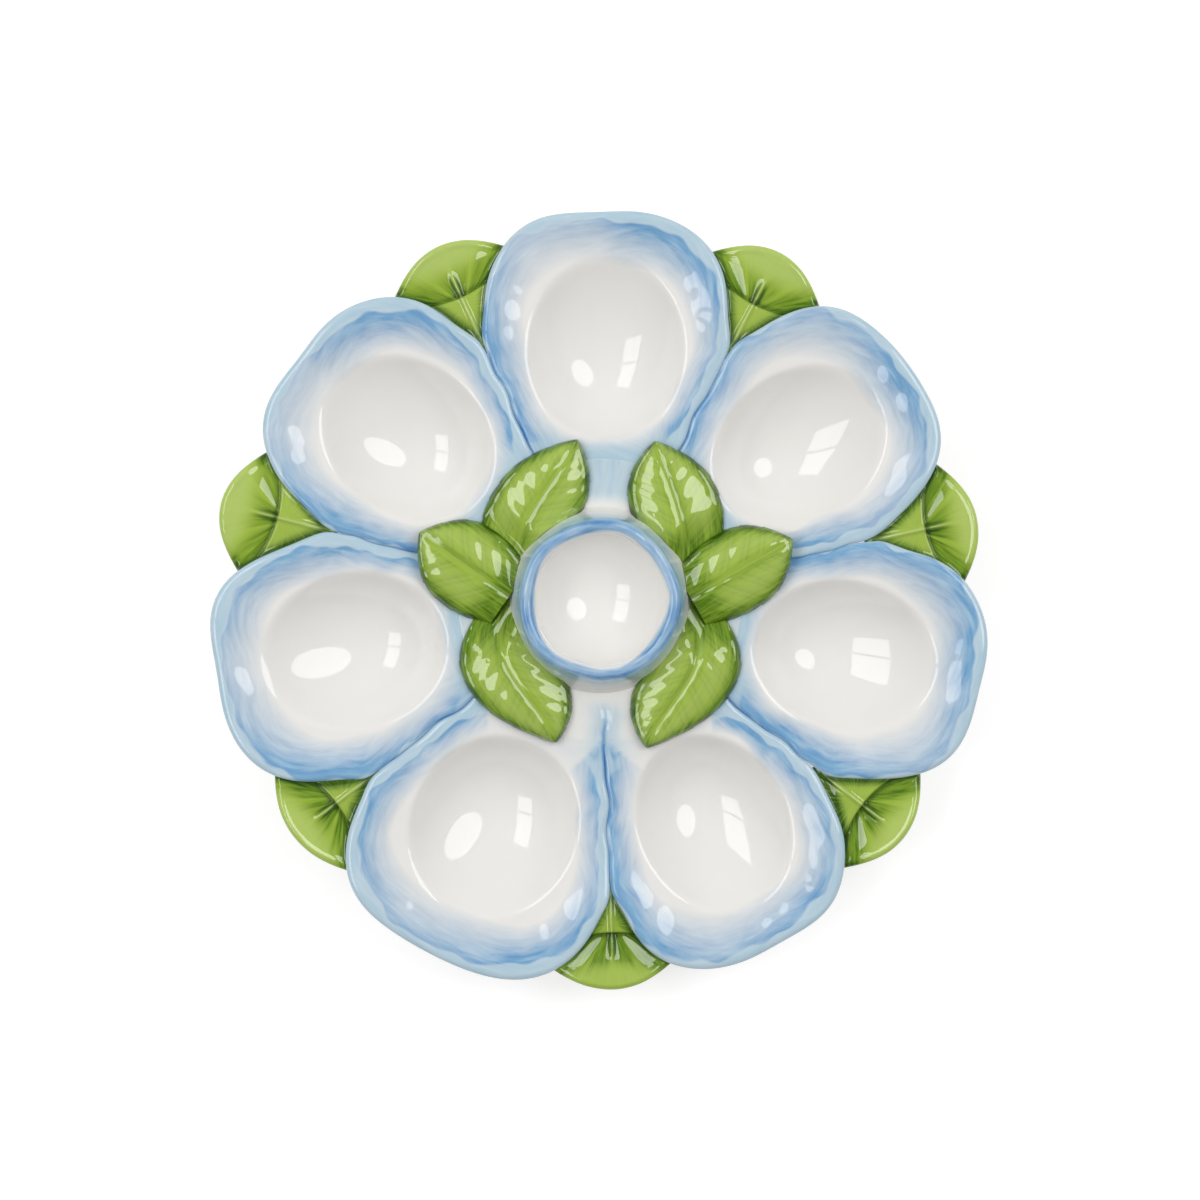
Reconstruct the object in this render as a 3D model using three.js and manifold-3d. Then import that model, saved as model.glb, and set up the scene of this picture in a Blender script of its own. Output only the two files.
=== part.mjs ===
// Egg tray in hand-painted glazed earthenware: seven egg dishes luted round a hub, a raised cup
// in the middle, sprig leaves round the cup, fan leaves between the dishes and a foot ring beneath.
// Millimetres, +Z up, the table at Z = 0 and the middle of the tray on the Z axis.
import * as THREE from "three";
import { LoftGeometry } from "three/addons/geometries/LoftGeometry.js";
import { mergeVertices } from "three/addons/utils/BufferGeometryUtils.js";
import Module from "manifold-3d";

// Egg dishes
const DISH_COUNT = 7;
const WELL_PLACE = 84; // middle of the tray to the middle of a well
const WELL_LENGTH = 61; // along the tray's radius
const WELL_WIDTH = 51;
const WELL_DEPTH = 15;
const OUTER_BRIM = 15.5; // lip of a well to the dish's outer edge
const SIDE_BRIM = 14.3; // lip of a well to the side of its dish
const INNER_BRIM = 5.5; // lip of a well to the hub
const WALL = 5;
const RIM_RISE = 3; // crest of the outer rim above the brim
const RIM_ROUND = 1.6; // crest of a rim to its outermost edge
const RIM_THICKNESS = 4.4;
const LOBE_EXPONENT = 3; // squareness of a dish's rounded outer end: 2 would be an ellipse
const CORNER_SHARPNESS = 30; // of the corners where a dish's outer end, sides and inner end meet
const BOWL_STEEPNESS = 0.68; // squared sine of the slope at a well's lip

// Hand work, dish by dish clockwise from the top: degrees that the seam after a dish is off
// its even place, millimetres that the dish is larger, and more that it is so on its clockwise side
const SEAM_TURNS = [1.7, 0.5, -0.6, -2, 1, 1.5, 1.1];
const LOBE_GROWTHS = [0, -0.6, 0.3, -0.4, 1.3, 0.9, -0.4];
const LOBE_SKEWS = [-0.5, -0.8, 0.6, 1.6, -0.6, -1.1, -0.2];

// Cup in the middle
const CUP_BORE = 44;
const CUP_DEPTH = 18;
const CUP_RISE = 16; // rim of the cup above the brim
const CUP_LIP = 4.6; // thickness of the cup's rim
const CUP_FLARE = 1.9; // how much the cup widens, on the radius, from its rim to its foot
const CUP_WAVE = 0.5; // hand-shaped waver of the cup's rim
const CUP_WAVES = 5; // wavers round the rim

// Foot ring
const FOOT_CLEARANCE = 3; // table to the underside of a well
const FOOT_WIDTH = 5;
const FOOT_INSET = 4; // top of the foot ring inside the hub's edge
const FOOT_FLARE = 7; // how much the foot ring widens, on the radius, towards the table

// Sprig leaves round the cup: turns are clockwise degrees from the top of the tray, tipReach is
// from the hub's edge to the tip, bow is how far the midrib bends away from the cup, lift raises the tip
const SPRIGS = {
  upper_left: { baseTurn: -74, tipTurn: -8, tipReach: 6, width: 29, bow: 3.2, lift: 0.6 },
  left: { baseTurn: -85, tipTurn: -69, tipReach: 16, width: 30, bow: 0, lift: 2.6 },
  lower_left: { baseTurn: -98, tipTurn: -163, tipReach: 2, width: 31, bow: 7.6, lift: 0.6 },
  upper_right: { baseTurn: 66, tipTurn: 19, tipReach: 8, width: 30, bow: 2, lift: 0.6 },
  right: { baseTurn: 86, tipTurn: 73, tipReach: 19, width: 28, bow: 0, lift: 2.6 },
  lower_right: { baseTurn: 94, tipTurn: 164, tipReach: 3, width: 31, bow: 7.6, lift: 0.6 },
};
const OVER_SPRIGS = [SPRIGS.left, SPRIGS.right]; // these lie over their neighbours
const SPRIG_BASE_GAP = 1.2; // cup's waver to the base of a leaf
const SPRIG_BASE_SHARE = 0.65; // width of a leaf at its base, as a share of its full width
const SPRIG_FULLEST = 0.4; // where along its length a leaf is widest
const SPRIG_EDGE = 2; // thickness of a leaf at its edge
const SPRIG_DOME = 3; // crown of a leaf above its edge
const SPRIG_CREASE = 0.8; // depth of the midrib

// Fan leaves between the dishes
const FAN_THICKNESS = 4;
const FAN_SINK = 1.4; // edge of a leaf below the crest of the rims beside it
const FAN_DROOP = 1; // fall of a leaf towards its outer edge
const FAN_CROWN = 0.14; // crown of a leaf, as a share of its width
const FAN_POINT = 1; // least width of a leaf at its inner point

const SLIP_JOINT = 0.3; // gap that the luting slip fills

// How finely the round shapes are faceted
const DISH_SPOKES = 36;
const WELL_STEPS = [0, 0.3, 0.6, 0.84, 1];
const CUP_SPOKES = 36;
const RING_SPOKES = 40;
const SPRIG_STEPS = 9;
const SPRIG_CROSSING = [-1, -0.7, -0.3, 0, 0.3, 0.7, 1];
const FAN_SPOKES = [90, 80, 70, 60, 50, 45]; // degrees from outwards of the dish spokes beside a fan leaf

// Sizes that follow
const lipLength = WELL_LENGTH / 2;
const lipWidth = WELL_WIDTH / 2;
const lobeLength = lipLength + OUTER_BRIM;
const lobeWidth = lipWidth + SIDE_BRIM;
const hubRadius = WELL_PLACE - lipLength - INNER_BRIM;
const trayRadius = WELL_PLACE + lobeLength;
const seamAngle = Math.PI / DISH_COUNT;
const wellFloor = FOOT_CLEARANCE + WALL;
const brim = wellFloor + WELL_DEPTH;
const cupRimRadius = CUP_BORE / 2 + CUP_LIP;
const cupFootRadius = cupRimRadius + CUP_FLARE;
const cupRim = brim + CUP_RISE;
const cupFloor = cupRim - CUP_DEPTH;
const cupSeat = brim + SLIP_JOINT;

const mix = (a, b, share) => a + (b - a) * share;
const ease = (x) => (1 - Math.cos(Math.PI * Math.min(1, Math.max(0, x)))) / 2;
const easeBetween = (low, high, x) => ease((x - low) / (high - low));
const radians = THREE.MathUtils.degToRad;

// The least of several lengths, rounded off where two of them are nearly equal
function softLeast(lengths) {
  const sum = lengths.reduce((total, length) => total + length ** -CORNER_SHARPNESS, 0);
  return sum ** (-1 / CORNER_SHARPNESS);
}

// A point of the tray from its clockwise turn, distance from the middle and height
function polarPoint(turn, reach, height) {
  return new THREE.Vector3(reach * Math.sin(turn), reach * Math.cos(turn), height);
}

// A dish's entry in a list of hand work, counted on past the last dish
function handWork(list, index) {
  return list[THREE.MathUtils.euclideanModulo(index, DISH_COUNT) % list.length];
}

// The turn, in radians, by which hand setting moves what lies at a turn: it eases from seam to seam
function handTurn(turn) {
  const place = turn / (2 * seamAngle) - 0.5;
  const before = Math.floor(place);
  const degrees = mix(
    handWork(SEAM_TURNS, before),
    handWork(SEAM_TURNS, before + 1),
    ease(place - before),
  );
  return radians(degrees);
}

// A point given across and along a line from the tray's middle, moved as the hand setting moves it
function handPlaced(lineTurn, across, along, height) {
  const turn = lineTurn + Math.atan2(across, along);
  return polarPoint(turn + handTurn(turn), Math.hypot(across, along), height);
}

// Closed solids through rings of points: one with flat ends, and one whose end rings are points
const cappedLoft = (rings) => new LoftGeometry(rings, { capStart: true, capEnd: true });
const pointedLoft = (rings) => new LoftGeometry(rings);

// Egg dishes

// Distances from the middle of a dish's well to its lip and to the dish's edge, along a spoke
// whose angle from outwards runs from -180 to 180 degrees
function spoke(index, angle) {
  const side = Math.sin(angle);
  const out = Math.cos(angle);
  const lip = 1 / Math.hypot(side / lipWidth, out / lipLength);
  const powers = [side / lobeWidth, out / lobeLength].map((x) => Math.abs(x) ** LOBE_EXPONENT);
  const even = (powers[0] + powers[1]) ** (-1 / LOBE_EXPONENT);
  const limits = [even + handWork(LOBE_GROWTHS, index) + handWork(LOBE_SKEWS, index) * side];
  const towardsSeam = Math.sin(Math.abs(angle) - seamAngle);
  if (towardsSeam > 0) {
    limits.push((WELL_PLACE * Math.sin(seamAngle) - SLIP_JOINT / 2) / towardsSeam);
  }
  const joint = hubRadius + SLIP_JOINT / 2;
  const meetsHub = joint ** 2 - (WELL_PLACE * side) ** 2;
  if (out < 0 && meetsHub > 0) {
    limits.push(-WELL_PLACE * out - Math.sqrt(meetsHub));
  }
  return { side, out, lip, edge: softLeast(limits) };
}

// Where a spoke meets the dish's edge: across and along the dish's own line from the tray's middle
function edgePlace({ side, out, edge }) {
  return new THREE.Vector2(edge * side, WELL_PLACE + edge * out);
}

// Section of a dish along one spoke, as [distance from the middle of the well, height]: from the
// underside of the well out to the rim, and back over the brim into the well
function dishSection(shape) {
  const { lip, edge } = shape;
  const rise = RIM_RISE * easeBetween(WELL_PLACE * 0.85, trayRadius * 0.9, edgePlace(shape).length());
  const crest = edge - RIM_ROUND * mix(0.3, 1, rise / RIM_RISE);
  const outerLip = Math.min(lip + WALL * 0.7, mix(lip, crest, 0.8));
  const slope = (share) => 1 - Math.sqrt(1 - BOWL_STEEPNESS * share ** 2);
  const depth = (share) => (WELL_DEPTH * slope(share)) / slope(1);
  const under = WELL_STEPS.map((share) => [share * outerLip, wellFloor - WALL + depth(share)]);
  const inside = WELL_STEPS.map((share) => [share * lip, wellFloor + depth(share)]);
  return [
    ...under,
    [mix(outerLip, crest, 0.55), brim + rise * 0.35 - WALL],
    [crest, brim + rise - RIM_THICKNESS],
    [edge, brim + rise - RIM_THICKNESS / 2],
    [crest, brim + rise],
    [mix(lip, crest, 0.78), brim + rise * 0.6],
    [mix(lip, crest, 0.4), brim + rise * 0.12],
    ...inside.reverse(),
  ];
}

function dish(index) {
  const dishTurn = index * 2 * seamAngle;
  const sections = Array.from({ length: DISH_SPOKES }, (_, step) => {
    const shape = spoke(index, Math.PI - (step / DISH_SPOKES) * 2 * Math.PI);
    return dishSection(shape).map(([reach, height]) =>
      handPlaced(dishTurn, reach * shape.side, WELL_PLACE + reach * shape.out, height),
    );
  });
  return pointedLoft(sections[0].map((_, station) => sections.map((section) => section[station])));
}

// Hub, cup and foot ring

// Radius of the cup's bore at a height above its floor
function boreRadius(height) {
  return (CUP_BORE / 2) * Math.sqrt(Math.max(0, 1 - (1 - height / CUP_DEPTH) ** 2));
}
const neckRadius = boreRadius(brim - cupFloor) + WALL;

// A ring turned about the tray's middle from a closed profile of [radius, height]
function turnedRing(profile) {
  const points = [...profile, profile[0]].map(([radius, height]) => new THREE.Vector2(radius, height));
  return new THREE.LatheGeometry(points, RING_SPOKES).rotateX(Math.PI / 2);
}

function hub() {
  const hole = neckRadius + SLIP_JOINT;
  const edge = hubRadius - SLIP_JOINT / 2;
  return turnedRing([
    [hole, brim - WALL],
    [edge, brim - WALL],
    [edge, brim],
    [hole, brim],
  ]);
}

// The cup's shoulder sits on the hub, and its bowl hangs through the hub's hole
function cup() {
  const under = Math.min(cupFloor, brim) - WALL;
  const inside = [0, 0.04, 0.16, 0.36, 0.65].map((share) => [
    boreRadius(share * CUP_DEPTH),
    cupFloor + share * CUP_DEPTH,
  ]);
  const profile = [
    [0, under],
    [neckRadius * 0.6, mix(under, brim, 0.08)],
    [neckRadius * 0.9, mix(under, brim, 0.4)],
    [neckRadius, mix(under, brim, 0.7)],
    [neckRadius, cupSeat],
    [cupFootRadius, cupSeat],
    [cupFootRadius, cupSeat + RIM_ROUND],
    [mix(cupFootRadius, cupRimRadius, 0.7), mix(cupSeat, cupRim, 0.6)],
    [cupRimRadius, cupRim - CUP_LIP / 2],
    [cupRimRadius - CUP_LIP / 2, cupRim],
    [CUP_BORE / 2, cupRim - CUP_LIP / 2],
    ...inside.reverse(),
  ];
  const rings = profile.map(([radius, height]) =>
    Array.from({ length: CUP_SPOKES }, (_, step) => {
      const turn = (-step / CUP_SPOKES) * 2 * Math.PI;
      const waver = CUP_WAVE * easeBetween(cupSeat, cupRim, height) * Math.sin(CUP_WAVES * turn);
      return polarPoint(turn, radius + (radius > 0 ? waver : 0), height);
    }),
  );
  return pointedLoft(rings);
}

function footRing() {
  const top = brim - WALL - SLIP_JOINT;
  const topEdge = hubRadius - FOOT_INSET;
  const waist = topEdge + FOOT_FLARE * 0.35;
  const tableEdge = topEdge + FOOT_FLARE;
  return turnedRing([
    [tableEdge - FOOT_WIDTH, 0],
    [tableEdge, 0],
    [waist, top / 2],
    [topEdge, top],
    [topEdge - FOOT_WIDTH, top],
    [waist - FOOT_WIDTH, top / 2],
  ]);
}

// Sprig leaves

// Where a leaf is drawn along its length, as shares of it, short of the very tip
const sprigShares = Array.from({ length: SPRIG_STEPS }, (_, step) => (0.97 * step) / (SPRIG_STEPS - 1));

// Half width of a leaf at a share of its length, as a share of its greatest half width
function fullness(share) {
  if (share < SPRIG_FULLEST) {
    return mix(SPRIG_BASE_SHARE, 1, Math.sin((share / SPRIG_FULLEST) * (Math.PI / 2)));
  }
  const onwards = (share - SPRIG_FULLEST) / (1 - SPRIG_FULLEST);
  return Math.cos((Math.PI / 2) * onwards ** 1.3);
}

// A point of a leaf's outline or surface in plan: share runs along the midrib, across runs
// from -1 to 1 between the edges, and grow widens the leaf all round. It keeps clear of the cup.
function sprigPlace(sprig, share, across, grow = 0) {
  const clear = cupFootRadius + CUP_WAVE + SPRIG_BASE_GAP;
  const base = polarPoint(radians(sprig.baseTurn), clear, 0);
  const tip = polarPoint(radians(sprig.tipTurn), hubRadius + sprig.tipReach, 0);
  const along = tip.clone().sub(base);
  const length = along.length();
  along.normalize();
  const right = new THREE.Vector3(along.y, -along.x, 0);
  const outwards = Math.sign(right.dot(base.clone().add(tip)));
  const half = (sprig.width / 2) * fullness(share) + grow;
  const bent = (27 / 4) * share * (1 - share) ** 2; // 1 at a third of the length
  const point = base
    .addScaledVector(along, share * length + grow * (2 * share - 1))
    .addScaledVector(right, across * half + outwards * sprig.bow * bent);
  if (point.length() < clear - grow) point.setLength(clear - grow);
  return point;
}

function sprigLeaf(sprig) {
  const rings = sprigShares.map((share) => {
    const seat = brim + SLIP_JOINT + sprig.lift * share ** 2;
    const crown = SPRIG_DOME * Math.sqrt(fullness(share));
    const top = SPRIG_CROSSING.map((across) => {
      const crease = across === 0 ? SPRIG_CREASE : 0;
      const height = seat + SPRIG_EDGE + crown * (1 - across ** 2) - crease;
      return sprigPlace(sprig, share, across).setZ(height);
    });
    const back = [0.97, -0.97].map((across) => sprigPlace(sprig, share, across).setZ(seat));
    return [...top, ...back];
  });
  return cappedLoft(rings);
}

// The space that a leaf takes from the leaves under it: a block of its widened outline
function sprigSpace(sprig) {
  const place = (share, across) => sprigPlace(sprig, share, across, SLIP_JOINT);
  const edge = (across) => sprigShares.map((share) => place(share, across));
  const base = SPRIG_CROSSING.slice(1, -1).map((across) => place(0, across));
  const points = [...edge(-1), place(1, 0), ...edge(1).reverse(), ...base.reverse()];
  const outline = points.map(({ x, y }) => new THREE.Vector2(x, y));
  const depth = WALL + SPRIG_EDGE + SPRIG_DOME + WALL;
  const block = new THREE.ExtrudeGeometry(new THREE.Shape(outline), { depth, bevelEnabled: false });
  return block.translate(0, 0, brim - WALL);
}

// Fan leaves

// Where the edge of a dish lies beside a seam: across and along the seam's own line. The spoke's
// degrees are positive for the dish before the seam and negative for the dish after it.
function besideSeam(dishIndex, degrees) {
  const turned = Math.sign(degrees) * seamAngle;
  return edgePlace(spoke(dishIndex, radians(degrees))).rotateAround(new THREE.Vector2(), turned);
}

function fanLeaf(index) {
  const seamTurn = (2 * index + 1) * seamAngle;
  const joint = new THREE.Vector2(1.2 * SLIP_JOINT, 0);
  const beside = FAN_SPOKES.map((degrees) => ({
    left: besideSeam(index, degrees).add(joint),
    right: besideSeam(index + 1, -degrees).sub(joint),
  })).filter(({ left, right }) => right.x - left.x > FAN_POINT);
  const corner = beside[beside.length - 1];
  const rounded = [0.3, 0.65, 0.95].map((share) => {
    const narrow = Math.sqrt(1 - share);
    const pulled = ({ x, y }) => new THREE.Vector2(x * narrow, mix(y, trayRadius, share));
    return { left: pulled(corner.left), right: pulled(corner.right) };
  });
  const rings = [...beside, ...rounded].map(({ left, right }) => {
    const crown = FAN_CROWN * (right.x - left.x);
    const point = (share, raised) => {
      const { x, y } = left.clone().lerp(right, share);
      const droop = FAN_DROOP * easeBetween(hubRadius, trayRadius, y) ** 6;
      return handPlaced(seamTurn, x, y, brim + RIM_RISE - FAN_SINK - droop + raised);
    };
    const top = [0, 0.25, 0.5, 0.75, 1].map((share) => point(share, crown * share * (1 - share)));
    const back = [0.95, 0.05].map((share) => point(share, -FAN_THICKNESS));
    return [...top, ...back];
  });
  return cappedLoft(rings);
}

// Cutting one piece by the space of another

const wasm = await Module();
wasm.setup();

function solidOf(geometry) {
  const bare = new THREE.BufferGeometry();
  bare.setAttribute("position", geometry.getAttribute("position"));
  bare.setIndex(geometry.getIndex());
  const merged = mergeVertices(bare, 1e-3);
  const vertProperties = merged.getAttribute("position").array;
  const triVerts = new Uint32Array(merged.getIndex().array);
  return new wasm.Manifold(new wasm.Mesh({ numProp: 3, vertProperties, triVerts }));
}

// What is left of a piece once the spaces are cut away: its largest body
function cutAway(geometry, spaces) {
  const left = spaces.reduce((solid, space) => solid.subtract(solidOf(space)), solidOf(geometry));
  const [largest] = left.decompose().sort((a, b) => b.volume() - a.volume());
  const { vertProperties, triVerts } = largest.getMesh();
  const cut = new THREE.BufferGeometry();
  cut.setAttribute("position", new THREE.BufferAttribute(vertProperties, 3));
  cut.setIndex(new THREE.BufferAttribute(triVerts, 1));
  cut.computeVertexNormals();
  return cut;
}

// Assembly

const tray = new THREE.Group();

function addPiece(name, geometry, color, roughness) {
  const piece = new THREE.Mesh(geometry, new THREE.MeshStandardMaterial({ color, roughness }));
  piece.name = name;
  tray.add(piece);
}

const GLAZE_ROUGHNESS = 0.12;
const CLAY_ROUGHNESS = 0.8;
const BLUE_GLAZE = 0xb4cdec;
const WHITE_GLAZE = 0xf1f2f3;
const GREEN_GLAZE = 0x86b03a;
const BARE_CLAY = 0xe8ddcd;

addPiece("hub_plate", hub(), WHITE_GLAZE, GLAZE_ROUGHNESS);
addPiece("foot_ring", footRing(), BARE_CLAY, CLAY_ROUGHNESS);
addPiece("centre_cup", cup(), BLUE_GLAZE, GLAZE_ROUGHNESS);
for (let index = 0; index < DISH_COUNT; index += 1) {
  addPiece(`egg_dish_${index + 1}`, dish(index), BLUE_GLAZE, GLAZE_ROUGHNESS);
  addPiece(`fan_leaf_${index + 1}`, fanLeaf(index), GREEN_GLAZE, GLAZE_ROUGHNESS);
}
const overSpaces = OVER_SPRIGS.map(sprigSpace);
for (const [place, sprig] of Object.entries(SPRIGS)) {
  const leaf = sprigLeaf(sprig);
  const shape = OVER_SPRIGS.includes(sprig) ? leaf : cutAway(leaf, overSpaces);
  addPiece(`sprig_leaf_${place}`, shape, GREEN_GLAZE, GLAZE_ROUGHNESS);
}

export default tray;
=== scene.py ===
# %% [markdown]
# # A hand-painted egg tray
#
# The real tray is earthenware: seven egg dishes, luted round a hub like petals, a small cup in the
# middle, and pressed leaves that hide the joints. It was painted by hand under a thick clear glaze.
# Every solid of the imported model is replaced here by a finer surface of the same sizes, so that the
# rims can be rounded, the seams can wander and the leaves can have veins.
# Lengths are in millimetres until a mesh is made, which is in metres.

import bpy
import numpy as np
from mathutils import Matrix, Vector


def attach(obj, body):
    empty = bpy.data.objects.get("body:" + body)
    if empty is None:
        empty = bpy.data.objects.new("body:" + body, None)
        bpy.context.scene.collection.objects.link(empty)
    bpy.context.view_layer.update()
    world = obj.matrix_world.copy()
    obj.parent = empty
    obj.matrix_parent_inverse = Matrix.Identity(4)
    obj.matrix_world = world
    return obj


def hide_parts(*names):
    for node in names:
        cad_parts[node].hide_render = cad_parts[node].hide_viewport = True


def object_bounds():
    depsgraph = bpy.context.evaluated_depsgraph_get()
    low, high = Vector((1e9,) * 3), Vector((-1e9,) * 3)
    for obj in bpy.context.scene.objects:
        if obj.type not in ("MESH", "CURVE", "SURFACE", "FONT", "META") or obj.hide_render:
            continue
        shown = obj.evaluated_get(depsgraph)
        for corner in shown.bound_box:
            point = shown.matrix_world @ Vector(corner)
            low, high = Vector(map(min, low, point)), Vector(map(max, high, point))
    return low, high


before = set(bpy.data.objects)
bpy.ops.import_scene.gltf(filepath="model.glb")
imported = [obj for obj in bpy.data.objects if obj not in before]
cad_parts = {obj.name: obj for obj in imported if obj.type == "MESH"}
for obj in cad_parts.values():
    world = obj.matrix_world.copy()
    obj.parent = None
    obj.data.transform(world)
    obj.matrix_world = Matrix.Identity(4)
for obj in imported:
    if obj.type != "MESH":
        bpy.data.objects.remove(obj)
cad_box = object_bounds()
MM = 0.001
cad_size = [round(side / MM, 1) for side in cad_box[1] - cad_box[0]]
print(len(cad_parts), "solids,", cad_size, "mm")

# %% [markdown]
# ## Camera
#
# The tray is looked at from straight above with a long lens. The lens and the width of the view
# give the camera's height: a longer lens stands further off and flattens the raised cup.

# %% Camera above the tray
LENS, SENSOR = 85, 36
VIEW_WIDTH = 401  # across the square picture, at the height of the rims
RIM_PLANE = 25

scene = bpy.context.scene
scene.view_settings.view_transform = "Standard"


def add_object(name, data):
    """Puts an object that shows some data into the scene."""
    shown = bpy.data.objects.new(name, data)
    scene.collection.objects.link(shown)
    return shown


camera = add_object("camera", bpy.data.cameras.new("camera"))
camera.data.lens, camera.data.sensor_width = LENS, SENSOR
camera.location.z = (RIM_PLANE + VIEW_WIDTH * LENS / SENSOR) * MM
scene.camera = camera
print("camera", round(camera.location.z, 3), "m above the table")

# %% [markdown]
# ## Curves that every piece uses
#
# Clay has no hard corners, so most shapes here are sums of a few soft curves: a step, a bell, a sum
# of waves for the unevenness of hand work, and the lower of two surfaces, rounded where they cross.
# Each takes whole arrays, so a surface of thousands of points is worked out at once.

# %% Soft curves
def mix(a, b, share):
    """A straight blend from a to b."""
    return a + (b - a) * share


def ease(low, high, x):
    """0 up to low, 1 from high on, and half a cosine wave between them. With low above high it
    falls instead of rising."""
    return (1 - np.cos(np.pi * np.clip((x - low) / (high - low), 0, 1))) / 2


def bell(x, width):
    """1 where x is 0, falling to about a third one width away."""
    return np.exp(-((x / width) ** 2))


def waves(x, *parts):
    """A sum of sines of x. Each part gives its waves per turn, its height and where it starts."""
    return sum(height * np.sin(count * x + start) for count, height, start in parts)


def lower_of(a, b, softness):
    """The lower of two heights, rounded off over about the softness where they cross."""
    return np.minimum(a, b) - softness * np.log1p(np.exp(-np.abs(a - b) / softness))


def smooth_profile(keys, steps):
    """Points along a curve through the keys. Between two keys it is a cubic whose slope at each key
    is that of the line between the key's neighbours."""
    keys = np.array(keys, float)
    padded = np.vstack([2 * keys[0] - keys[1], keys, 2 * keys[-1] - keys[-2]])
    place = np.linspace(0, len(keys) - 1, steps)
    first = np.minimum(place.astype(int), len(keys) - 2)
    share = (place - first)[:, None]
    a, b, c, d = (padded[first + step] for step in range(4))
    bend = 2 * a - 5 * b + 4 * c - d + share * (3 * (b - c) + d - a)
    return b + share / 2 * (c - a + share * bend)


print("half of a step:", ease(0, 1, 0.5), "and a bell one width out:", bell(1, 1).round(2))

# %% [markdown]
# ## From a grid of points to a piece
#
# Each piece is one grid of points whose columns go once round it. Its rows either start and end in
# a single point, like the poles of a globe, or close on themselves, like a ring. Two small fields
# ride on the points: paint, three strengths that the glaze reads as colours, and brush, a place
# along and across the brush strokes. The volume inside tells whether the faces point outwards.

# %% Mesh from a grid
SHARP_EDGE = 50  # degrees between two faces; sharper edges are not smoothed over
CUBIC_CENTIMETRE = 1000


def once_round(columns):
    """Angles for the columns of a grid, evenly spaced once round."""
    return np.linspace(-np.pi, np.pi, columns, endpoint=False)


def spread(*parts):
    """The values of each point of a grid, where a part may be only a row or a column."""
    return np.stack(np.broadcast_arrays(*parts), -1)


def add_piece(node, material, points, paint, brush, ring=False):
    """Makes the piece that stands for a solid. Neighbouring points of the grid are joined by faces
    of four corners, and a corner that repeats the one before it, at a pole, is left out. The volume
    is the sum of the pyramids from the origin to each half face."""
    ids = np.arange(points[..., 0].size).reshape(points.shape[:2])
    if ring:
        ids = np.vstack([ids, ids[:1]])
    else:
        ids[0], ids[-1] = ids[0, 0], ids[-1, 0]
    ids = np.hstack([ids, ids[:, :1]])
    faces = np.stack([ids[:-1, :-1], ids[1:, :-1], ids[1:, 1:], ids[:-1, 1:]], -1).reshape(-1, 4)
    flat = points.reshape(-1, 3)
    a, b, c, d = (flat[faces[:, corner]] for corner in range(4))
    volume = ((np.cross(a, b) * c).sum() + (np.cross(a, c) * d).sum()) / 6
    if volume < 0:
        faces = faces[:, ::-1]
    kept = faces != np.roll(faces, 1, axis=1)
    used, corners = np.unique(faces[kept], return_inverse=True)

    mesh = bpy.data.meshes.new(node)
    mesh.vertices.add(len(used))
    mesh.loops.add(len(corners))
    mesh.polygons.add(len(faces))
    mesh.vertices.foreach_set("co", (MM * flat[used]).ravel())
    starts = np.r_[0, np.cumsum(kept.sum(1))[:-1]]  # np.r_ joins numbers and arrays in a row
    mesh.polygons.foreach_set("loop_start", starts)
    mesh.polygons.foreach_set("vertices", corners.ravel())
    for name, field in (("paint", paint), ("brush", brush)):
        values = np.broadcast_to(field, points.shape).reshape(-1, 3)[used]
        attribute = mesh.attributes.new(name, "FLOAT_VECTOR", "POINT")
        attribute.data.foreach_set("vector", values.astype(np.float32).ravel())
    mesh.update(calc_edges=True)
    mesh.shade_smooth()
    mesh.set_sharp_from_angle(angle=np.radians(SHARP_EDGE))
    mesh.materials.append(material)

    piece = add_object(f"{node}.glazed", mesh)
    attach(piece, "root")
    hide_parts(node)
    content = round(abs(volume) / CUBIC_CENTIMETRE, 1)
    print(piece.name, len(faces), "faces,", content, "cubic centimetres")


print("edges stay sharp from", SHARP_EDGE, "degrees on")

# %% [markdown]
# ## Painted glaze
#
# Tin-glazed earthenware is a white ground with thin colour brushed on it, under a thick glaze that
# flows while it melts. So the finish is very glossy, its colours are uneven, and its ripples bend
# the reflections. A material could hold a colour ramp for each piece; here one recipe takes the
# ground and three paints, and each piece says with its paint field where they go. A noise stretched
# along the brush field breaks the paint into strokes.

# %% Nodes and colours
def linear(colour):
    """An sRGB hex colour as linear red, green, blue and alpha: a straight line for the darkest
    values, and a power of 2.4 above them."""
    channels = np.array([*bytes.fromhex(colour[1:])]) / 255
    curve = np.where(channels <= 0.04045, channels / 12.92, ((channels + 0.055) / 1.055) ** 2.4)
    return (*curve, 1)


def add_node(tree, kind, links=None, values=None, **settings):
    """Adds a shader node of a kind, sets its properties and socket values, links other outputs to
    it, and gives its own outputs."""
    node = tree.nodes.new(f"ShaderNode{kind}")
    for name, value in settings.items():
        setattr(node, name, value)
    for socket, value in (values or {}).items():
        node.inputs[socket].default_value = value
    for socket, output in (links or {}).items():
        tree.links.new(output, node.inputs[socket])
    return node.outputs


def new_material(name):
    """A material with its node tree and its shader."""
    material = bpy.data.materials.new(name)
    material.use_nodes = True
    return material, material.node_tree, material.node_tree.nodes["Principled BSDF"]


print("mid grey is", round(float(linear("#808080")[0]), 3), "in linear light")

# %% Recipe of a painted glaze
GLAZE_ROUGHNESS = 0.05  # melted glass, so lamps are mirrored as clear shapes
RIPPLE, RIPPLE_HEIGHT = 9, 0.05  # width and height of the ripples that melting leaves
CLOUD = 16  # width of patches of thicker and thinner colour
DRY_BRUSH, FULL_BRUSH = 0.25, 0.75  # noise values for least and most paint


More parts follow.
